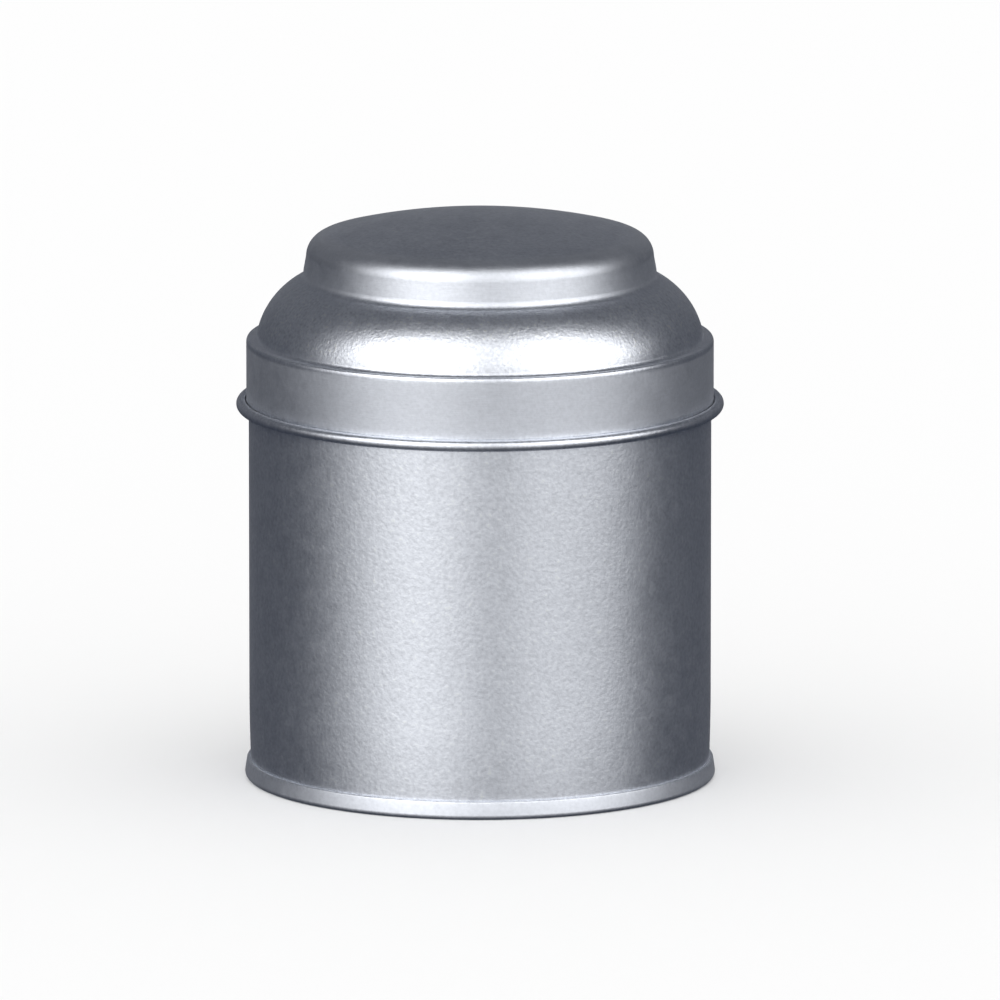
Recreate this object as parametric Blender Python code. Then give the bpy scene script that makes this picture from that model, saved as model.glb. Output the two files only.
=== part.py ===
"""Round tinplate candle tin with a two-step domed slip-on lid.

The tin is four pieces: a rolled body wall, a base end that is double-seamed to it, the
sealing ring squeezed inside that seam, and a lid drawn from a single disc of sheet.
Units are metres and +Z is up. The origin is the centre of the ring the tin stands on.

Each sheet-metal piece is drawn as the line down the middle of its sheet, turned about Z
by a Screw modifier and thickened by a Solidify modifier.
"""

import math

import bpy

MM = 0.001

# ---- sheet and facets -------------------------------------------------------------------
SHEET = 0.20 * MM
HALF_SHEET = SHEET / 2
TURN_STEPS = 48
FACET_ANGLE = 360 / TURN_STEPS
MERGE_DISTANCE = 0.01 * MM

# ---- outside sizes, measured on the outer skin -------------------------------------------
TOTAL_HEIGHT = 89.7 * MM
BODY_RADIUS = 36.5 * MM
LID_CLEARANCE = 0.17 * MM
SKIRT_RADIUS = BODY_RADIUS + LID_CLEARANCE + SHEET

# ---- lid ----------------------------------------------------------------------------------
CROWN_RADIUS = 99.0 * MM
CROWN_CORNER_RADIUS = 3.5 * MM
NECK_TOP_RADIUS = 27.4 * MM
NECK_FOOT_RADIUS = 27.8 * MM
NECK_FILLET_RADIUS = 1.8 * MM
SHOULDER_RADIUS = 12.5 * MM
SHOULDER_CENTRE = (22.92 * MM, 68.31 * MM)
LEDGE_HEIGHT = 70.15 * MM
LEDGE_CORNER_WIDTH = 0.35 * MM
LEDGE_CORNER_HEIGHT = 0.7 * MM
HEM_HEIGHT = 59.6 * MM
HEM_RADIUS = 0.9 * MM
HEM_END_ANGLE = 118

# ---- body wall ------------------------------------------------------------------------------
SEAT_GAP = 0.12 * MM
RIM_HEIGHT = LEDGE_HEIGHT - SHEET - SEAT_GAP
RIM_CURL_RADIUS = 0.7 * MM
RIM_CURL_END_ANGLE = 290
NECK_IN_TOP = 12.0 * MM
SIDE_SEAM_WIDTH = 3.2 * MM
SIDE_SEAM_DEPTH = 2 * SHEET
SIDE_SEAM_FOOT = 9.0 * MM
SIDE_SEAM_TOP = 66.8 * MM
SIDE_SEAM_ANGLE = 90 + FACET_ANGLE / 2

# ---- base end and double seam ---------------------------------------------------------------
BASE_RADIUS = 37.17 * MM
SEAM_TOP = 2.93 * MM
SEAM_TOP_RADIUS = 36.92 * MM
SEAM_LEAN = 0.06
SEAM_LAYER_GAP = 0.02 * MM
SEAM_PITCH = SHEET + SEAM_LAYER_GAP
SEAM_CREST_BEND = 0.25 * MM
SEAM_HOOK_BEND = 0.15 * MM
BODY_FOLD_HEIGHT = 0.86 * MM
BODY_HOOK_TOP = 2.1 * MM
BASE_HOOK_FOOT = 1.08 * MM
FOOT_INNER_BEND = 0.30 * MM
FOOT_OUTER_BEND = 0.60 * MM
PANEL_HEIGHT = 3.4 * MM
PANEL_BEND = 0.8 * MM

# ---- sealing ring ------------------------------------------------------------------------------
SEAL_WIDTH = 0.44 * MM
SEAL_HEIGHT = 0.2 * MM
SEAL_CLEARANCE = 0.06 * MM

# ---- finishes: colour, roughness, metallic --------------------------------------------------------
FROSTED_TINPLATE = ((0.56, 0.57, 0.60, 1.0), 0.38, 1.0)
PLAIN_TINPLATE = ((0.62, 0.63, 0.65, 1.0), 0.28, 1.0)
SEALING_COMPOUND = ((0.20, 0.20, 0.19, 1.0), 0.80, 0.0)


def arc(centre, radius, start, end, pieces, stretch=1.0):
    """Points on an arc in the (r, z) half plane. Angles are in degrees from +r towards +z.

    stretch multiplies the height, which makes the arc part of an ellipse.
    """
    points = []
    for i in range(pieces + 1):
        angle = math.radians(start + (end - start) * i / pieces)
        across = radius * math.cos(angle)
        up = radius * stretch * math.sin(angle)
        points.append((centre[0] + across, centre[1] + up))
    return points


def seam_layer(layer, z):
    """Radius of a double-seam layer's middle line. Layer 1 is next to the outer face, 4 is
    innermost.
    """
    outermost = SEAM_TOP_RADIUS - HALF_SHEET
    return outermost - layer * SEAM_PITCH + SEAM_LEAN * (SEAM_TOP - z)


def face_slant(foot, foot_bend, crest, crest_bend):
    """How far a straight face leans back, in degrees, if it touches two bends from outside.

    foot and crest are the bends' centres, and the other two are their radii.
    """
    across = crest[0] - foot[0]
    up = crest[1] - foot[1]
    slant = math.atan2(up, across) - math.acos((foot_bend - crest_bend) / math.hypot(across, up))
    return math.degrees(slant)


def lid_line():
    """The lid from the middle of its crown to the free edge of its hem."""
    crown_centre = (0.0, TOTAL_HEIGHT - CROWN_RADIUS)
    corner_r = NECK_TOP_RADIUS - CROWN_CORNER_RADIUS
    reach = CROWN_RADIUS - CROWN_CORNER_RADIUS
    corner_z = crown_centre[1] + math.sqrt(reach**2 - corner_r**2)
    tangent = math.degrees(math.acos(corner_r / reach))
    line = arc(crown_centre, CROWN_RADIUS - HALF_SHEET, 90, tangent, 3)
    line += arc(
        (corner_r, corner_z), CROWN_CORNER_RADIUS - HALF_SHEET, tangent, 0, 4
    )[1:]

    # The fillet and the shoulder touch where the line between their centres crosses them.
    fillet_r = NECK_FOOT_RADIUS + NECK_FILLET_RADIUS
    across = fillet_r - SHOULDER_CENTRE[0]
    up = math.sqrt((SHOULDER_RADIUS + NECK_FILLET_RADIUS)**2 - across**2)
    touch = math.degrees(math.atan2(up, across))
    fillet_centre = (fillet_r, SHOULDER_CENTRE[1] + up)
    line += arc(fillet_centre, NECK_FILLET_RADIUS + HALF_SHEET, 180, 180 + touch, 3)

    # The flat ledge cuts the shoulder off before it is upright.
    shoulder = SHOULDER_RADIUS - HALF_SHEET
    foot = LEDGE_HEIGHT - HALF_SHEET - SHOULDER_CENTRE[1]
    cut = math.degrees(math.asin(foot / shoulder))
    line += arc(SHOULDER_CENTRE, shoulder, touch, cut, 6)[1:]

    # The ledge turns down into the skirt round a corner that is taller than it is wide.
    ledge_corner = (SKIRT_RADIUS - LEDGE_CORNER_WIDTH, LEDGE_HEIGHT - LEDGE_CORNER_HEIGHT)
    width = LEDGE_CORNER_WIDTH - HALF_SHEET
    height = LEDGE_CORNER_HEIGHT - HALF_SHEET
    line += arc(ledge_corner, width, 90, 0, 3, height / width)

    hem_r = SKIRT_RADIUS - SHEET + HEM_RADIUS
    hem_turn = HEM_RADIUS - HALF_SHEET
    line += arc((hem_r, HEM_HEIGHT), hem_turn, -180, HEM_END_ANGLE, 9)
    return line


def body_wall_line():
    """The wall from the free edge of its rim curl down to the tip of its seam hook."""
    curl_centre = (BODY_RADIUS - RIM_CURL_RADIUS, RIM_HEIGHT - RIM_CURL_RADIUS)
    line = arc(curl_centre, RIM_CURL_RADIUS - HALF_SHEET, RIM_CURL_END_ANGLE, 0, 8)

    wall_r = BODY_RADIUS - HALF_SHEET
    line.append((wall_r, NECK_IN_TOP))
    line.append((seam_layer(3, SEAM_TOP), SEAM_TOP))

    fold_r = seam_layer(2, BODY_FOLD_HEIGHT)
    line += arc((fold_r, BODY_FOLD_HEIGHT), SEAM_PITCH, 180, 360, 4)
    line.append((seam_layer(1, BODY_HOOK_TOP), BODY_HOOK_TOP))
    return line


def base_end_line():
    """The base from the middle of its panel to the tip of its seam hook."""
    line = [(0.0, PANEL_HEIGHT)]
    panel_r = seam_layer(4, PANEL_HEIGHT) - PANEL_BEND
    line += arc((panel_r, PANEL_HEIGHT - PANEL_BEND), PANEL_BEND, 90, 0, 3)

    inner_z = HALF_SHEET + FOOT_INNER_BEND
    inner_r = seam_layer(4, inner_z) + FOOT_INNER_BEND
    line += arc((inner_r, inner_z), FOOT_INNER_BEND, 180, 270, 2)

    # The outer face leans back from the foot to a crest, which bends down into the hook.
    foot = (BASE_RADIUS - HALF_SHEET - FOOT_OUTER_BEND, HALF_SHEET + FOOT_OUTER_BEND)
    crest_z = SEAM_TOP - HALF_SHEET
    crest_r = seam_layer(2, crest_z) + SEAM_HOOK_BEND
    crest = (crest_r, crest_z - SEAM_CREST_BEND)
    slant = face_slant(foot, FOOT_OUTER_BEND, crest, SEAM_CREST_BEND)
    line += arc(foot, FOOT_OUTER_BEND, 270, 360 + slant, 4)
    line += arc(crest, SEAM_CREST_BEND, slant, 90, 3)
    line += arc((crest_r, crest_z - SEAM_HOOK_BEND), SEAM_HOOK_BEND, 90, 180, 2)[1:]
    line.append((seam_layer(2, BASE_HOOK_FOOT), BASE_HOOK_FOOT))
    return line


def sealing_ring_outline():
    """The closed eight-sided section of the ring that lies under the body wall's fold."""
    middle_r = seam_layer(2, BODY_FOLD_HEIGHT)
    middle_z = SHEET + SEAL_CLEARANCE + SEAL_HEIGHT / 2
    stretch = SEAL_HEIGHT / SEAL_WIDTH
    return arc((middle_r, middle_z), SEAL_WIDTH / 2, 0, -315, 7, stretch)


def material(name, finish):
    colour, roughness, metallic = finish
    made = bpy.data.materials.new(name)
    made.use_nodes = True
    shader = made.node_tree.nodes["Principled BSDF"]
    shader.inputs["Base Color"].default_value = colour
    shader.inputs["Roughness"].default_value = roughness
    shader.inputs["Metallic"].default_value = metallic
    return made


def axis_empty(name, height):
    """An empty on the tin's axis that pieces hang from."""
    empty = bpy.data.objects.new(name, None)
    empty.location = (0.0, 0.0, height)
    bpy.context.scene.collection.objects.link(empty)
    return empty


def turned_piece(name, line, made_of, parent, closed=False):
    """An object whose mesh is the line, with a Screw that turns it about Z."""
    drop = parent.location.z
    points = [(r, 0.0, z - drop) for r, z in line]
    edges = [(i, i + 1) for i in range(len(points) - 1)]
    if closed:
        edges.append((len(points) - 1, 0))
    mesh = bpy.data.meshes.new(name)
    mesh.from_pydata(points, edges, [])
    mesh.materials.append(made_of)
    piece = bpy.data.objects.new(name, mesh)
    piece.parent = parent
    bpy.context.scene.collection.objects.link(piece)

    screw = piece.modifiers.new("turn", "SCREW")
    screw.axis = "Z"
    screw.angle = math.tau
    screw.steps = TURN_STEPS
    screw.render_steps = TURN_STEPS
    screw.use_smooth_shade = True
    screw.use_merge_vertices = True
    screw.merge_threshold = MERGE_DISTANCE
    return piece


def sheet_piece(name, line, made_of, parent):
    """A turned piece thickened evenly to both sides of its middle line."""
    piece = turned_piece(name, line, made_of, parent)
    solidify = piece.modifiers.new("sheet", "SOLIDIFY")
    solidify.thickness = SHEET
    solidify.offset = 0.0
    solidify.use_even_offset = True
    return piece


def side_seam_bar(parent):
    """The flat bar, half sunk in the wall, that becomes the ridge of the side seam."""
    facet_r = (BODY_RADIUS - HALF_SHEET) * math.cos(math.radians(FACET_ANGLE / 2))
    thickness = SIDE_SEAM_DEPTH + HALF_SHEET
    middle_r = facet_r - thickness / 2
    angle = math.radians(SIDE_SEAM_ANGLE)
    bpy.ops.mesh.primitive_cube_add(size=1.0)
    bar = bpy.context.object
    bar.name = "side_seam_bar"
    bar.parent = parent
    bar.location = (
        middle_r * math.cos(angle),
        middle_r * math.sin(angle),
        (SIDE_SEAM_FOOT + SIDE_SEAM_TOP) / 2,
    )
    bar.rotation_euler.z = angle
    bar.scale = (thickness, SIDE_SEAM_WIDTH, SIDE_SEAM_TOP - SIDE_SEAM_FOOT)
    bar.hide_render = True
    bar.display_type = "WIRE"
    return bar


def add_side_seam(wall):
    """Joins the ridge where the rolled sheet's two edges are locked together, at +Y."""
    union = wall.modifiers.new("side_seam", "BOOLEAN")
    union.operation = "UNION"
    union.solver = "EXACT"
    union.object = side_seam_bar(wall.parent)


def main():
    for old in list(bpy.data.objects):
        bpy.data.objects.remove(old)

    frosted = material("frosted_tinplate", FROSTED_TINPLATE)
    plain = material("plain_tinplate", PLAIN_TINPLATE)
    compound = material("sealing_compound", SEALING_COMPOUND)

    tin_axis = axis_empty("tin_axis", 0.0)
    lid_axis = axis_empty("lid_axis", RIM_HEIGHT)

    wall = sheet_piece("body_wall", body_wall_line(), frosted, tin_axis)
    add_side_seam(wall)
    sheet_piece("base_end", base_end_line(), plain, tin_axis)
    turned_piece("seam_sealing_ring", sealing_ring_outline(), compound, tin_axis, closed=True)
    sheet_piece("domed_lid", lid_line(), frosted, lid_axis)


main()
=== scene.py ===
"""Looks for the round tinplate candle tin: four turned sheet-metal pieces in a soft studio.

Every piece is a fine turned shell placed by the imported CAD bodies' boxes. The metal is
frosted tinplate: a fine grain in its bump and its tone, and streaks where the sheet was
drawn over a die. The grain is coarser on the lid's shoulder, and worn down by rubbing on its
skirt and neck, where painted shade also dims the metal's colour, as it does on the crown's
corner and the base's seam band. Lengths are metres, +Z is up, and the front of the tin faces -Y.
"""

import math
from collections import namedtuple

import bmesh
import bpy
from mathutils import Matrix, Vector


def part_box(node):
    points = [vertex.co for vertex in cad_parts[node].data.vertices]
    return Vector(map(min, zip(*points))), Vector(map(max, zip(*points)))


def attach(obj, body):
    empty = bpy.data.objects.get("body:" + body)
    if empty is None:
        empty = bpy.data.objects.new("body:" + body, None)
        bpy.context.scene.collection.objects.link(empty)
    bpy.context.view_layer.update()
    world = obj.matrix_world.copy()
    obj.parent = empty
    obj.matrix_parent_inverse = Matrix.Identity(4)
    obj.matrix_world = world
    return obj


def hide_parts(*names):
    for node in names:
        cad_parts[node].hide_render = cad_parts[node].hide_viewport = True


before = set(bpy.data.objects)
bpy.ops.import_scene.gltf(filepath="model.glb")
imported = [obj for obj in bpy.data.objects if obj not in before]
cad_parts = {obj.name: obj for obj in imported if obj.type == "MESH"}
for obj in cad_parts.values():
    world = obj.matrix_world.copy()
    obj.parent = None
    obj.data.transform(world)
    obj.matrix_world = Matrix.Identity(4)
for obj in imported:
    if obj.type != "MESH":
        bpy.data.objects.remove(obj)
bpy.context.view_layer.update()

MM = 0.001

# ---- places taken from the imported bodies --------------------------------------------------
LID_LOW, LID_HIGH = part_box("domed_lid")
WALL_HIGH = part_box("body_wall")[1]
BASE_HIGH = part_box("base_end")[1]
RING_LOW, RING_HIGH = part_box("seam_sealing_ring")

SHEET = 0.20 * MM
HALF_SHEET = SHEET / 2

# ---- lid ----------------------------------------------------------------------------------
TOP = LID_HIGH.z
HEM_RADIUS = 0.9 * MM
HEM_HEIGHT = LID_LOW.z + HEM_RADIUS
HEM_END_ANGLE = 118
SKIRT_RADIUS = LID_HIGH.x - 2 * HEM_RADIUS + SHEET
SEAT_GAP = 0.15 * MM
LEDGE_HEIGHT = WALL_HIGH.z + SEAT_GAP + SHEET
LEDGE_CORNER_WIDTH = 0.35 * MM
LEDGE_CORNER_HEIGHT = 0.7 * MM
CROWN_RADIUS = 99.0 * MM
CROWN_CORNER_RADIUS = 3.5 * MM
NECK_TOP_RADIUS = 27.4 * MM
NECK_FOOT_RADIUS = 27.8 * MM
NECK_FILLET_RADIUS = 1.8 * MM
SHOULDER_RADIUS = 12.5 * MM
SHOULDER_CENTRE = (22.92 * MM, TOP - 21.39 * MM)

# ---- body wall ----------------------------------------------------------------------------
LID_CLEARANCE = 0.17 * MM
WALL_RADIUS = SKIRT_RADIUS - SHEET - LID_CLEARANCE
RIM_CURL_RADIUS = 0.7 * MM
RIM_CURL_END_ANGLE = 290
NECK_IN_TOP = 14.0 * MM
SIDE_SEAM_WIDTH = 3.2 * MM
SIDE_SEAM_DEPTH = 2 * SHEET
SIDE_SEAM_RAMP = 0.18 * MM
SIDE_SEAM_MARGIN = 0.5 * MM
SIDE_SEAM_FOOT = 9.0 * MM
SIDE_SEAM_TOP = 66.8 * MM
SIDE_SEAM_FADE = 0.9 * MM
SEAM_GROOVE_DEPTH = 0.11 * MM
SEAM_GROOVE_HALF_WIDTH = 0.22 * MM

# ---- base end, double seam and sealing ring -----------------------------------------------
SEAM_TOP = 2.93 * MM
SEAM_LEAN = 0.06
SEAM_GAP = 0.02 * MM
SEAM_PITCH = SHEET + SEAM_GAP
FOOT_OUTER_BEND = 0.60 * MM
FOOT_INNER_BEND = 0.30 * MM
SEAM_TOP_RADIUS = BASE_HIGH.x - 0.25 * MM
SEAM_CREST_BEND = 0.25 * MM
SEAM_HOOK_BEND = 0.15 * MM
BODY_FOLD_HEIGHT = 0.86 * MM
BODY_HOOK_TOP = 2.1 * MM
BASE_HOOK_FOOT = 1.08 * MM
PANEL_HEIGHT = BASE_HIGH.z - HALF_SHEET
PANEL_BEND = 0.8 * MM
RING_HALF_WIDTH = 0.20 * MM
RING_INSET = 0.22 * MM

# ---- mesh fineness ------------------------------------------------------------------------
TURN_STEPS = 240
ARC_TURN = 6.0
ARC_PIECE_LENGTH = 0.72 * MM
MOST_ARC_PIECES = 24
TAPER_PIECES = 36
PANEL_STEP = 6 * MM
WALL_STEP = 4 * MM
SKIRT_STEP = 2 * MM
RIM_STEP = 1 * MM
FADE_STEP = 0.3 * MM
TIP_ANGLES = (60, 30, 0, -30, -60)
SHARPEST_MITRE = 0.3
ON_AXIS = 1e-7

# ---- tinplate: sizes of its grain, and how strongly each layer shows ----------------------
TIN_TINT = (0.86, 0.886, 0.938)
COARSE_TIMES = 3.0
BLOTCH_SIZE = 9 * MM
LINE_SIZE = 0.6 * MM
COARSE_ROUGHNESS = 0.05
BLOTCH_ROUGHNESS = 0.02
LINE_ROUGHNESS = 0.03
COARSE_HEIGHT = 0.5
LINE_HEIGHT = 0.6
GRAIN_TONE = 0.5
BLOTCH_TONE = 0.03
LINE_TONE = 0.1
RUBBED_GRAIN = 0.45
# Soft edge of the worn zones, which carry worn-down grain, extra roughness and painted shade.
RUBBED_SHADED_EDGE = 0.4 * MM
RIDGE_SIZE = 0.45 * MM
RIDGE_HEIGHT = 0.8
RIDGE_TONE = 0.45
RIDGE_EDGE = 0.8 * MM
RIDGE_ROUND_RADIUS = 33 * MM

# ---- studio: directions are degrees up and over the tin, from level with its front ---------
WHITE = (1, 1, 1, 1)
ROOM_SHADE = (0.032, 0.038, 0.055)
PANEL_TOP_EDGE = (51, 74)
PANEL_LOW_EDGE = (-46, 40)
PANEL_LOW_LIGHT = 0.1
PANEL_HIGH_LIGHT = 1.3
DARK_BELOW = (-90, -50)
BEHIND_EDGE = (80, 130)
BEHIND_LIGHT = 0.018
EVEN_LIGHT = 1.10
FLOOR_WHITE = 0.90
FLOOR_SIZE = 40.0
SPECKLE_SIZE = 0.8 * MM
SPECKLE_SHADE = 0.004

# ---- camera: it looks down a little on a point just beside the tin's axis ------------------
CAMERA_PITCH = math.radians(10.68)
CAMERA_DISTANCE = 3.06
CAMERA_LENS = 698
CAMERA_SENSOR = 36
CAMERA_REACH = 60
AIM = (3.15 * MM, 0.0, 44.0 * MM)

Look = namedtuple("Look", "roughness grain_height grain_size streak line_stretch")
# A worn zone: its heights, how much rougher it is, and how much painted shade dims its colour.
RubbedShaded = namedtuple("RubbedShaded", "low high rougher darker")


# ========================================================================= turned outlines


def arc(centre, radius, start, end, stretch=1.0):
    """Points on an arc in the (r, z) half plane, as fine as its size needs.

    start and end are degrees, and stretch is how many times taller than wide it is.
    """
    turn = abs(end - start)
    pieces = math.ceil(max(turn / ARC_TURN, 2))
    length = math.radians(turn) * radius * max(1.0, stretch)
    pieces = max(pieces, min(MOST_ARC_PIECES, math.ceil(length / ARC_PIECE_LENGTH)))
    points = []
    for i in range(pieces + 1):
        angle = math.radians(start + (end - start) * i / pieces)
        across = radius * math.cos(angle)
        up = radius * stretch * math.sin(angle)
        points.append((centre[0] + across, centre[1] + up))
    return points


def straight(start, end, step):
    """Points from start to end, both included, about a step apart."""
    pieces = max(1, math.ceil(math.dist(start, end) / step))
    points = []
    for i in range(pieces + 1):
        share = i / pieces
        points.append((
            start[0] + (end[0] - start[0]) * share,
            start[1] + (end[1] - start[1]) * share,
        ))
    return points


def joined(*runs):
    """One line from several, without the points that repeat where they meet."""
    line = []
    for run in runs:
        for r, z in run:
            point = (r if r > ON_AXIS else 0.0, z)
            if not line or math.dist(line[-1], point) > ON_AXIS:
                line.append(point)
    return line


def tapering(top, bottom, pieces):
    """A line that leaves top straight down, and bends more and more to reach bottom."""
    points = []
    for i in range(pieces + 1):
        share = i / pieces
        r = top[0] + (bottom[0] - top[0]) * share**2
        points.append((r, top[1] + (bottom[1] - top[1]) * share))
    return points


def seam_layer(layer, z):
    """Radius of a double-seam layer's middle line. Layer 1 is next to the outer face, 4 is
    innermost.
    """
    outermost = SEAM_TOP_RADIUS - HALF_SHEET
    return outermost - layer * SEAM_PITCH + SEAM_LEAN * (SEAM_TOP - z)


def face_slant(foot, foot_bend, crest, crest_bend):
    """How far a straight face leans back, in degrees, if it touches two bends from outside.

    foot and crest are the bends' centres, and the other two are their radii.
    """
    across = crest[0] - foot[0]
    up = crest[1] - foot[1]
    slant = math.atan2(up, across) - math.acos((foot_bend - crest_bend) / math.hypot(across, up))
    return math.degrees(slant)


def lid_line():
    """Middle line of the lid's sheet, from its crown to the free edge of its hem."""
    crown_centre = (0.0, TOP - CROWN_RADIUS)
    corner_r = NECK_TOP_RADIUS - CROWN_CORNER_RADIUS
    reach = CROWN_RADIUS - CROWN_CORNER_RADIUS
    corner_z = crown_centre[1] + math.sqrt(reach**2 - corner_r**2)
    tangent = math.degrees(math.acos(corner_r / reach))
    fillet_r = NECK_FOOT_RADIUS + NECK_FILLET_RADIUS
    across = fillet_r - SHOULDER_CENTRE[0]
    up = math.sqrt((SHOULDER_RADIUS + NECK_FILLET_RADIUS)**2 - across**2)
    touch = math.degrees(math.atan2(up, across))
    fillet_centre = (fillet_r, SHOULDER_CENTRE[1] + up)
    shoulder = SHOULDER_RADIUS - HALF_SHEET
    foot = LEDGE_HEIGHT - HALF_SHEET - SHOULDER_CENTRE[1]
    cut = math.degrees(math.asin(foot / shoulder))
    ledge_z = LEDGE_HEIGHT - LEDGE_CORNER_HEIGHT
    ledge_corner = (SKIRT_RADIUS - LEDGE_CORNER_WIDTH, ledge_z)
    corner_width = LEDGE_CORNER_WIDTH - HALF_SHEET
    corner_stretch = (LEDGE_CORNER_HEIGHT - HALF_SHEET) / corner_width
    hem_r = SKIRT_RADIUS - SHEET + HEM_RADIUS
    skirt_r = SKIRT_RADIUS - HALF_SHEET
    return joined(
        arc(crown_centre, CROWN_RADIUS - HALF_SHEET, 90, tangent),
        arc((corner_r, corner_z), CROWN_CORNER_RADIUS - HALF_SHEET, tangent, 0),
        arc(fillet_centre, NECK_FILLET_RADIUS + HALF_SHEET, 180, 180 + touch),
        arc(SHOULDER_CENTRE, shoulder, touch, cut),
        arc(ledge_corner, corner_width, 90, 0, corner_stretch),
        straight((skirt_r, ledge_z), (skirt_r, HEM_HEIGHT), SKIRT_STEP),
        arc((hem_r, HEM_HEIGHT), HEM_RADIUS - HALF_SHEET, -180, HEM_END_ANGLE),
    )


def wall_line():
    """Middle line of the body wall, from the free edge of its rim curl to its seam hook."""
    rim = WALL_HIGH.z
    curl = RIM_CURL_RADIUS
    wall_r = WALL_RADIUS - HALF_SHEET
    faded = SIDE_SEAM_TOP - SIDE_SEAM_FADE
    fold_r = seam_layer(2, BODY_FOLD_HEIGHT)
    return joined(
        arc((WALL_RADIUS - curl, rim - curl), curl - HALF_SHEET, RIM_CURL_END_ANGLE, 0),
        straight((wall_r, rim - curl), (wall_r, SIDE_SEAM_TOP), RIM_STEP),
        straight((wall_r, SIDE_SEAM_TOP), (wall_r, faded), FADE_STEP),
        straight((wall_r, faded), (wall_r, NECK_IN_TOP), WALL_STEP),
        tapering((wall_r, NECK_IN_TOP), (seam_layer(3, SEAM_TOP), SEAM_TOP), TAPER_PIECES),
        arc((fold_r, BODY_FOLD_HEIGHT), SEAM_PITCH, 180, 360),
        [(seam_layer(1, BODY_HOOK_TOP), BODY_HOOK_TOP)],
    )


def base_line():
    """Middle line of the base end, from the middle of its panel to its seam hook."""
    panel_r = seam_layer(4, PANEL_HEIGHT) - PANEL_BEND
    inner_z = HALF_SHEET + FOOT_INNER_BEND
    inner_r = seam_layer(4, inner_z) + FOOT_INNER_BEND
    foot = (BASE_HIGH.x - HALF_SHEET - FOOT_OUTER_BEND, HALF_SHEET + FOOT_OUTER_BEND)
    crest_z = SEAM_TOP - HALF_SHEET
    crest_r = seam_layer(2, crest_z) + SEAM_HOOK_BEND
    crest = (crest_r, crest_z - SEAM_CREST_BEND)
    slant = face_slant(foot, FOOT_OUTER_BEND, crest, SEAM_CREST_BEND)
    hook_bend = (crest_r, crest_z - SEAM_HOOK_BEND)
    return joined(
        straight((0.0, PANEL_HEIGHT), (panel_r, PANEL_HEIGHT), PANEL_STEP),
        arc((panel_r, PANEL_HEIGHT - PANEL_BEND), PANEL_BEND, 90, 0),
        arc((inner_r, inner_z), FOOT_INNER_BEND, 180, 270),
        arc(foot, FOOT_OUTER_BEND, 270, 360 + slant),
        arc(crest, SEAM_CREST_BEND, slant, 90),
        arc(hook_bend, SEAM_HOOK_BEND, 90, 180),
        [(seam_layer(2, BASE_HOOK_FOOT), BASE_HOOK_FOOT)],
    )


def ring_outline():
    """The closed section of the sealing ring: an ellipse in its CAD box."""
    centre = (RING_HIGH.x - RING_INSET, (RING_LOW.z + RING_HIGH.z) / 2)
    half_height = (RING_HIGH.z - RING_LOW.z) / 2
    return arc(centre, RING_HALF_WIDTH, 0, 360, half_height / RING_HALF_WIDTH)[:-1]


def unit(a, b):
    """The direction from a to b, one long."""
    length = math.dist(a, b)
    return (b[0] - a[0]) / length, (b[1] - a[1]) / length


def offset(line, distance):
    """The line moved to its left by distance, keeping the sheet even round the bends."""
    moved = []
    for i, point in enumerate(line):
        before = line[max(i - 1, 0)]
        after = line[min(i + 1, len(line) - 1)]
        first = unit(before, point) if i else unit(point, after)
        second = unit(point, after) if i < len(line) - 1 else first
        normal = (-first[1] - second[1], first[0] + second[0])
        length = math.hypot(*normal)
        normal = (normal[0] / length, normal[1] / length)
        mitre = distance / max(SHARPEST_MITRE, -first[1] * normal[0] + first[0] * normal[1])
        moved.append((point[0] + normal[0] * mitre, point[1] + normal[1] * mitre))
    if line[0][0] == 0.0:
        moved[0] = (0.0, line[0][1] + distance)
    return moved


def rounded_tip(line):
    """Points round the cut edge at the end of a sheet's middle line, left side to right."""
    direction = unit(line[-2], line[-1])
    left = (-direction[1], direction[0])
    points = []
    for degrees in TIP_ANGLES:
        turn = math.radians(degrees)
        along = math.cos(turn) * HALF_SHEET
        side = math.sin(turn) * HALF_SHEET
        points.append((
            line[-1][0] + direction[0] * along + left[0] * side,
            line[-1][1] + direction[1] * along + left[1] * side,
        ))
    return points


def sheet_outline(line):
    """The outline of a sheet, left skin first. It is closed if the line misses the axis."""
    outline = offset(line, HALF_SHEET)
    outline += rounded_tip(line)
    outline += offset(line, -HALF_SHEET)[::-1]
    if line[0][0] > 0.0:
        outline += rounded_tip(line[::-1])
    return outline


# ================================================================================== meshes


def even_angles():
    """The angles of the turned shells, in radians."""
    return [math.tau * i / TURN_STEPS for i in range(TURN_STEPS)]


def seam_angles():
    """Even angles, with the ones at the back swapped for close ones round the side seam."""
    half = SIDE_SEAM_WIDTH / 2
    groove = SEAM_GROOVE_HALF_WIDTH
    edge = half + SIDE_SEAM_RAMP
    marks = [-edge, -half, -groove * 2, -groove, 0.0, groove, groove * 2, half, edge]
    clear = (edge + SIDE_SEAM_MARGIN) / WALL_RADIUS
    angles = [a for a in even_angles() if abs(a - math.pi / 2) > clear]
    angles += [math.pi / 2 + mark / WALL_RADIUS for mark in marks]
    return sorted(angles)


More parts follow.
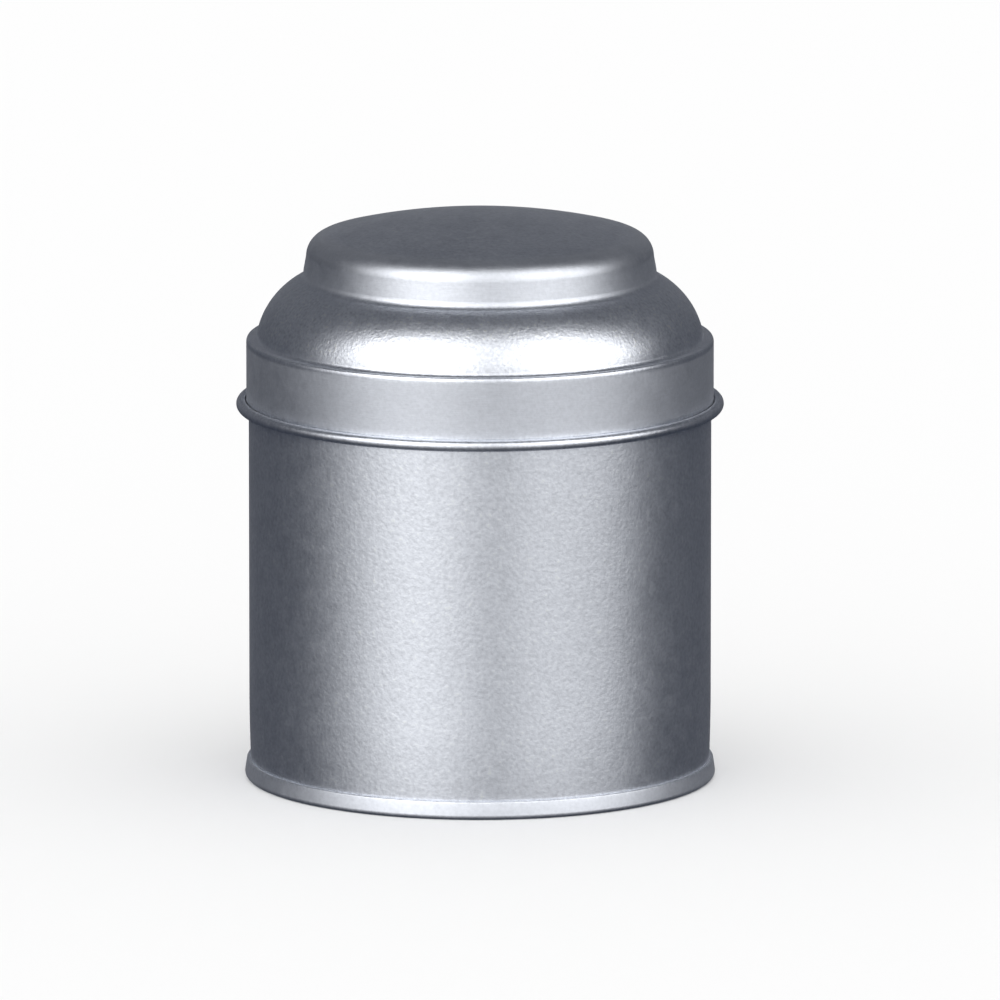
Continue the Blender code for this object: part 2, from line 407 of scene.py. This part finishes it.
def turned_mesh(name, outline, angles, shape=None):
    """A closed mesh from an outline turned about Z. Attribute along is metres of outline.

    shape, if given, takes (r, z, angle) and gives back the radius to use.
    """
    closed = outline[0][0] > 0.0
    along = [0.0]
    for a, b in zip(outline, outline[1:]):
        along.append(along[-1] + math.dist(a, b))
    points, lengths, rows = [], [], []
    for i, (r, z) in enumerate(outline):
        if r == 0.0:
            rows.append([len(points)] * len(angles))
            points.append((0.0, 0.0, z))
            lengths.append(along[i])
            continue
        row = []
        for angle in angles:
            radius = shape(r, z, angle) if shape else r
            row.append(len(points))
            points.append((radius * math.cos(angle), radius * math.sin(angle), z))
            lengths.append(along[i])
        rows.append(row)
    if closed:
        rows.append(rows[0])
    faces = []
    for upper, lower in zip(rows, rows[1:]):
        for j in range(len(angles)):
            k = (j + 1) % len(angles)
            corners = [upper[j], lower[j], lower[k], upper[k]]
            faces.append(tuple(dict.fromkeys(corners)))
    mesh = bpy.data.meshes.new(name)
    mesh.from_pydata(points, [], faces)
    attribute = mesh.attributes.new("along", "FLOAT", "POINT")
    attribute.data.foreach_set("value", lengths)
    work = bmesh.new()
    work.from_mesh(mesh)
    bmesh.ops.recalc_face_normals(work, faces=work.faces)
    work.to_mesh(mesh)
    work.free()
    mesh.shade_smooth()
    return mesh


def piece(name, mesh, material, body, node):
    """Puts a mesh in the scene in place of its CAD node."""
    made = bpy.data.objects.new(name, mesh)
    bpy.context.scene.collection.objects.link(made)
    mesh.materials.append(material)
    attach(made, body)
    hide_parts(node)


def ramp(value, start, end):
    """0 up to start, 1 from end on, smooth between. start may be above end."""
    share = min(1.0, max(0.0, (value - start) / (end - start)))
    return share * share * (3 - 2 * share)


def with_side_seam(r, z, angle):
    """The wall's radius, with a folded ridge inside and a fine groove outside at +Y."""
    across = abs(angle - math.pi / 2) * WALL_RADIUS
    half = SIDE_SEAM_WIDTH / 2
    if across > half + SIDE_SEAM_RAMP or not SEAM_TOP < z < SIDE_SEAM_TOP:
        return r
    below = max(0.0, (NECK_IN_TOP - z) / (NECK_IN_TOP - SEAM_TOP))
    neck_in = (WALL_RADIUS - HALF_SHEET - seam_layer(3, SEAM_TOP)) * below**2
    if r > WALL_RADIUS - HALF_SHEET - neck_in:
        groove = SEAM_GROOVE_DEPTH * ramp(across, SEAM_GROOVE_HALF_WIDTH, 0.0)
        groove *= ramp(z, SIDE_SEAM_TOP, SIDE_SEAM_TOP - SIDE_SEAM_FADE)
        return r - groove * ramp(z, SEAM_TOP, SEAM_TOP + SIDE_SEAM_FADE)
    ridge = SIDE_SEAM_DEPTH if across < half + SIDE_SEAM_RAMP / 2 else 0.0
    ridge *= ramp(z, SIDE_SEAM_FOOT, SIDE_SEAM_FOOT + SIDE_SEAM_FADE)
    return r - ridge * ramp(z, SIDE_SEAM_TOP, SIDE_SEAM_TOP - SIDE_SEAM_FADE)


# =============================================================================== materials


class Nodes:
    """A short way to write a node tree: each call adds a node and links its inputs."""

    def __init__(self, tree):
        self.tree = tree
        tree.nodes.clear()

    def add(self, kind, inputs=None, **settings):
        node = self.tree.nodes.new(kind)
        for key, value in settings.items():
            setattr(node, key, value)
        for key, value in (inputs or {}).items():
            self.feed(node.inputs[key], value)
        return node

    def feed(self, socket, value):
        if isinstance(value, bpy.types.NodeSocket):
            self.tree.links.new(value, socket)
        else:
            socket.default_value = value

    def math(self, operation, a, b=0.0):
        node = self.add("ShaderNodeMath", operation=operation)
        self.feed(node.inputs[0], a)
        self.feed(node.inputs[1], b)
        return node.outputs[0]

    def smooth(self, value, start, end, low=0.0, high=1.0):
        """low below start, high above end, with a smooth step between."""
        inputs = {"From Min": start, "From Max": end, "To Min": low, "To Max": high}
        node = self.add("ShaderNodeMapRange", inputs, interpolation_type="SMOOTHSTEP")
        self.feed(node.inputs["Value"], value)
        return node.outputs["Result"]

    def spread(self, value, low, high):
        """A 0-to-1 value spread between low and high."""
        inputs = {"Value": value, "To Min": low, "To Max": high}
        return self.add("ShaderNodeMapRange", inputs).outputs["Result"]

    def varied(self, value, middle, reach):
        """A 0-to-1 value turned into one that strays from middle by up to reach."""
        return self.spread(value, middle - reach, middle + reach)

    def noise(self, vector, size, detail=2.0, roughness=0.5):
        """Noise whose blotches are about size metres across."""
        inputs = {"Vector": vector, "Scale": 1 / size, "Detail": detail, "Roughness": roughness}
        return self.add("ShaderNodeTexNoise", inputs).outputs["Fac"]

    def stretched(self, vector, scale):
        """The vector with each part multiplied. Noise on it is longer where scale is small."""
        node = self.add("ShaderNodeVectorMath", {"Vector": vector}, operation="MULTIPLY")
        node.inputs[1].default_value = scale
        return node.outputs["Vector"]


def zone(n, height, bottom, top, soft):
    """1 between two heights and 0 outside them, with soft edges."""
    above = n.smooth(height, bottom - soft, bottom + soft)
    below = n.smooth(height, top - soft, top + soft, 1.0, 0.0)
    return n.math("MULTIPLY", above, below)


def slope_ridges(n, x, y):
    """Fine ridges spaced along the sheet itself, so that a slope doesn't stretch them."""
    around = n.math("ARCTAN2", y, x)
    down = n.add("ShaderNodeAttribute", attribute_name="along").outputs["Fac"]
    slope = n.add("ShaderNodeCombineXYZ", {
        "X": n.math("MULTIPLY", n.math("COSINE", around), RIDGE_ROUND_RADIUS),
        "Y": n.math("MULTIPLY", n.math("SINE", around), RIDGE_ROUND_RADIUS),
        "Z": down,
    })
    return n.noise(slope.outputs["Vector"], RIDGE_SIZE, 1.0)


def tinplate(name, look, coarse_zone=None, rubbed_shaded_zones=()):
    """Bare frosted tinplate.

    In the coarse zone, a pair of heights, the stretching of the sheet has opened up the
    grain. In the worn zones the grain is worn down by rubbing, and each zone also says how
    much rougher the metal is there and how much painted shade dims its colour there.
    """
    material = bpy.data.materials.new(name)
    material.use_nodes = True
    n = Nodes(material.node_tree)
    place = n.add("ShaderNodeTexCoord").outputs["Object"]
    x, y, z = n.add("ShaderNodeSeparateXYZ", {"Vector": place}).outputs

    crystals = n.noise(place, look.grain_size, 2.0, 0.55)
    coarse = n.noise(place, look.grain_size * COARSE_TIMES)
    blotches = n.noise(place, BLOTCH_SIZE)
    lines = n.noise(n.stretched(place, look.line_stretch), LINE_SIZE, 3.0, 0.6)

    grit = n.varied(crystals, 0.0, 0.5)
    rough = n.varied(coarse, look.roughness, COARSE_ROUGHNESS)
    rough = n.math("ADD", rough, n.varied(blotches, 0.0, BLOTCH_ROUGHNESS))
    rough = n.math("ADD", rough, n.varied(lines, 0.0, LINE_ROUGHNESS * look.streak))
    painted_shade_tone = 1.0
    for wear_and_shade in rubbed_shaded_zones:
        share = zone(n, z, wear_and_shade.low, wear_and_shade.high, RUBBED_SHADED_EDGE)
        grit = n.math("MULTIPLY", grit, n.spread(share, 1.0, RUBBED_GRAIN))
        rough = n.math("ADD", rough, n.math("MULTIPLY", share, wear_and_shade.rougher))
        # Painted shade: each zone dims the metal's colour by its share, dulling the reflections
        # there.
        painted_shade_tone = n.math("MULTIPLY", n.spread(share, 1.0, 1.0 - wear_and_shade.darker), painted_shade_tone)
    height = n.math("ADD", grit, n.math("MULTIPLY", coarse, COARSE_HEIGHT))
    height = n.math("ADD", height, n.math("MULTIPLY", lines, LINE_HEIGHT * look.streak))
    tone = n.math("ADD", n.math("MULTIPLY", grit, GRAIN_TONE), 1.0)
    tone = n.math("MULTIPLY", tone, painted_shade_tone)
    tone = n.math("MULTIPLY", tone, n.varied(blotches, 1.0, BLOTCH_TONE))
    tone = n.math("MULTIPLY", tone, n.varied(lines, 1.0, LINE_TONE * look.streak))

    if coarse_zone:
        ridges = slope_ridges(n, x, y)
        opened = zone(n, z, *coarse_zone, RIDGE_EDGE)
        raised = n.math("MULTIPLY", n.math("MULTIPLY", ridges, RIDGE_HEIGHT), opened)
        height = n.math("ADD", height, raised)
        sparkle = n.math("MULTIPLY", n.varied(ridges, 0.0, 0.5), opened)
        sparkle = n.math("ADD", n.math("MULTIPLY", sparkle, RIDGE_TONE), 1.0)
        tone = n.math("MULTIPLY", tone, sparkle)

    bump = n.add("ShaderNodeBump", {"Height": height, "Distance": look.grain_height})
    tint = n.add("ShaderNodeVectorMath", operation="SCALE")
    tint.inputs[0].default_value = TIN_TINT
    n.feed(tint.inputs["Scale"], tone)
    shader = n.add("ShaderNodeBsdfPrincipled", {
        "Base Color": tint.outputs["Vector"],
        "Metallic": 1.0,
        "Roughness": rough,
        "Normal": bump.outputs["Normal"],
    })
    n.add("ShaderNodeOutputMaterial", {"Surface": shader.outputs["BSDF"]})
    return material


def wall_metal():
    """Tinplate with a faint upright grain from rolling."""
    look = Look(
        roughness=0.39,
        grain_height=0.028 * MM,
        grain_size=0.62 * MM,
        streak=0.4,
        line_stretch=(1, 1, 0.2),
    )
    return tinplate("wall_tinplate", look)


def base_metal():
    """Tinplate whose grain the seaming rolls have pressed flat on the outer face."""
    look = Look(
        roughness=0.46,
        grain_height=0.025 * MM,
        grain_size=0.6 * MM,
        streak=0.4,
        line_stretch=(0.3, 0.3, 1),
    )
    # Painted shade: the seam band's metal colour is dimmed by 4 percent, besides its extra
    # roughness and flattened grain.
    band = RubbedShaded(FOOT_OUTER_BEND, SEAM_TOP - 0.4 * MM, rougher=0.05, darker=0.04)
    return tinplate("base_tinplate", look, None, (band,))


def lid_metal():
    """Tinplate drawn over a die: level lines, an opened shoulder and upright walls worn by
    rubbing. Painted shade dims the metal's colour on the skirt, neck and crown's corner.
    """
    look = Look(
        roughness=0.34,
        grain_height=0.03 * MM,
        grain_size=0.6 * MM,
        streak=0.6,
        line_stretch=(0.25, 0.25, 5),
    )
    neck_foot = TOP - 9.6 * MM
    neck_top = TOP - 6.0 * MM
    corner_top = TOP - 3.0 * MM
    shoulder = (LEDGE_HEIGHT + 1.0 * MM, neck_foot - 1.0 * MM)
    skirt_foot = HEM_HEIGHT + 1.2 * MM
    # Painted shade: the skirt, neck and crown's corner have their metal colour dimmed by 9, 10 and
    # 14 percent, besides their extra roughness.
    skirt = RubbedShaded(skirt_foot, LEDGE_HEIGHT - 0.8 * MM, rougher=0.15, darker=0.09)
    neck = RubbedShaded(neck_foot, neck_top, rougher=0.11, darker=0.10)
    crown_corner = RubbedShaded(neck_top, corner_top, rougher=0.07, darker=0.14)
    return tinplate("lid_tinplate", look, shoulder, (skirt, neck, crown_corner))


def sealing_compound():
    """Matt dark rubbery compound with a faint mottle."""
    material = bpy.data.materials.new("sealing_compound")
    material.use_nodes = True
    n = Nodes(material.node_tree)
    place = n.add("ShaderNodeTexCoord").outputs["Object"]
    mottle = n.noise(place, 0.3 * MM)
    bump = n.add("ShaderNodeBump", {"Height": mottle, "Distance": 0.01 * MM})
    shade = n.add("ShaderNodeValToRGB", {"Fac": mottle})
    shade.color_ramp.elements[0].color = (0.025, 0.025, 0.024, 1)
    shade.color_ramp.elements[1].color = (0.06, 0.06, 0.055, 1)
    shader = n.add("ShaderNodeBsdfPrincipled", {
        "Base Color": shade.outputs["Color"],
        "Roughness": n.spread(mottle, 0.7, 0.9),
        "Normal": bump.outputs["Normal"],
    })
    n.add("ShaderNodeOutputMaterial", {"Surface": shader.outputs["BSDF"]})
    return material


# ===================================================================================== tin


def build_wall():
    mesh = turned_mesh("body_wall_skin", sheet_outline(wall_line()), seam_angles(), with_side_seam)
    piece("tin_wall", mesh, wall_metal(), "tin", "body_wall")


def build_base():
    mesh = turned_mesh("base_end_skin", sheet_outline(base_line()), even_angles())
    piece("tin_base", mesh, base_metal(), "tin", "base_end")


def build_sealing_ring():
    mesh = turned_mesh("sealing_ring_skin", ring_outline(), even_angles())
    compound = sealing_compound()
    piece("tin_sealing_ring", mesh, compound, "tin", "seam_sealing_ring")


def build_lid():
    mesh = turned_mesh("domed_lid_skin", sheet_outline(lid_line()), even_angles())
    piece("tin_lid", mesh, lid_metal(), "lid", "domed_lid")


# ================================================================================== studio


def turntable():
    """An empty at the origin that turns with the camera, so the lights stay beside it."""
    empty = bpy.data.objects.new("studio_turntable", None)
    bpy.context.scene.collection.objects.link(empty)
    follow = empty.constraints.new("COPY_ROTATION")
    follow.target = bpy.context.scene.camera
    follow.use_x = False
    follow.use_y = False
    return empty


def softbox(n, sideways, over, left, right, soft, reach, strength):
    """One tall panel, from left to right in degrees sideways, that runs up and overhead.

    soft is how many degrees its side edges fade over. reach is how many degrees further
    back its top edge is for each degree sideways.
    """
    window = n.smooth(sideways, left - soft, left + soft)
    window = n.math("MULTIPLY", window, n.smooth(sideways, right - soft, right + soft, 1, 0))
    back = n.math("SUBTRACT", over, n.math("MULTIPLY", n.math("ABSOLUTE", sideways), reach))
    window = n.math("MULTIPLY", window, n.smooth(back, *PANEL_TOP_EDGE, 1.0, 0.0))
    return n.math("MULTIPLY", window, strength)


def studio_world(empty):
    """What the metal reflects: two tall softboxes in a dim room. The floor is lit evenly."""
    world = bpy.data.worlds.new("studio")
    bpy.context.scene.world = world
    world.use_nodes = True
    n = Nodes(world.node_tree)
    direction = n.add("ShaderNodeTexCoord", object=empty).outputs["Object"]
    x, y, z = n.add("ShaderNodeSeparateXYZ", {"Vector": direction}).outputs
    sideways = n.math("DEGREES", n.math("ARCSINE", x))
    over = n.math("DEGREES", n.math("ARCTAN2", z, n.math("MULTIPLY", y, -1.0)))

    left = softbox(n, sideways, over, left=-64, right=-2, soft=30, reach=0.15, strength=1.86)
    right = softbox(n, sideways, over, left=15, right=77, soft=4, reach=0.4, strength=1.33)
    low_edge = n.smooth(over, *PANEL_LOW_EDGE, PANEL_LOW_LIGHT, PANEL_HIGH_LIGHT)
    low_edge = n.math("MULTIPLY", low_edge, n.smooth(over, *DARK_BELOW))
    panels = n.math("MULTIPLY", n.math("ADD", left, right), low_edge)
    glow = n.math("ADD", panels, n.smooth(over, *BEHIND_EDGE, 0.0, BEHIND_LIGHT))

    room = n.add("ShaderNodeVectorMath", operation="ADD")
    room.inputs[0].default_value = ROOM_SHADE
    n.feed(room.inputs[1], glow)
    rays = n.add("ShaderNodeLightPath")
    studio = n.add("ShaderNodeBackground", {"Color": room.outputs["Vector"]})
    even = n.add("ShaderNodeBackground", {"Color": WHITE, "Strength": EVEN_LIGHT})
    backdrop_light = EVEN_LIGHT * FLOOR_WHITE
    backdrop = n.add("ShaderNodeBackground", {"Color": WHITE, "Strength": backdrop_light})
    seen = n.add("ShaderNodeMixShader", {"Fac": rays.outputs["Is Camera Ray"]})
    n.feed(seen.inputs[1], even.outputs["Background"])
    n.feed(seen.inputs[2], backdrop.outputs["Background"])
    mixed = n.add("ShaderNodeMixShader", {"Fac": rays.outputs["Is Glossy Ray"]})
    n.feed(mixed.inputs[1], seen.outputs["Shader"])
    n.feed(mixed.inputs[2], studio.outputs["Background"])
    n.add("ShaderNodeOutputWorld", {"Surface": mixed.outputs["Shader"]})


def floor():
    """A wide pale floor. Reflections in the metal, and looks from below, pass through it."""
    bpy.ops.mesh.primitive_plane_add(size=FLOOR_SIZE)
    plane = bpy.context.object
    plane.name = "studio_floor"
    material = bpy.data.materials.new("pale_floor")
    material.use_nodes = True
    n = Nodes(material.node_tree)
    place = n.add("ShaderNodeTexCoord").outputs["Object"]
    shade = n.varied(n.noise(place, SPECKLE_SIZE), FLOOR_WHITE, SPECKLE_SHADE)
    grey = n.add("ShaderNodeCombineColor", {"Red": shade, "Green": shade, "Blue": shade})
    matt = n.add("ShaderNodeBsdfDiffuse", {"Color": grey.outputs["Color"], "Roughness": 0.0})
    clear = n.add("ShaderNodeBsdfTransparent")
    rays = n.add("ShaderNodeLightPath")
    below = n.add("ShaderNodeNewGeometry").outputs["Backfacing"]
    unseen = n.math("MAXIMUM", rays.outputs["Is Glossy Ray"], below)
    mixed = n.add("ShaderNodeMixShader", {"Fac": unseen})
    n.feed(mixed.inputs[1], matt.outputs["BSDF"])
    n.feed(mixed.inputs[2], clear.outputs["BSDF"])
    n.add("ShaderNodeOutputMaterial", {"Surface": mixed.outputs["Shader"]})
    plane.data.materials.append(material)


def camera():
    """The scene's camera, straight in front of the tin."""
    data = bpy.data.cameras.new("camera")
    data.lens = CAMERA_LENS
    data.sensor_width = CAMERA_SENSOR
    data.clip_end = CAMERA_REACH
    made = bpy.data.objects.new("camera", data)
    bpy.context.scene.collection.objects.link(made)
    back = CAMERA_DISTANCE * math.cos(CAMERA_PITCH)
    up = CAMERA_DISTANCE * math.sin(CAMERA_PITCH)
    made.location = (AIM[0], AIM[1] - back, AIM[2] + up)
    made.rotation_euler = (math.pi / 2 - CAMERA_PITCH, 0, 0)
    bpy.context.scene.camera = made


def main():
    bpy.context.scene.view_settings.view_transform = "Standard"
    build_wall()
    build_base()
    build_sealing_ring()
    build_lid()
    floor()
    camera()
    studio_world(turntable())


main()
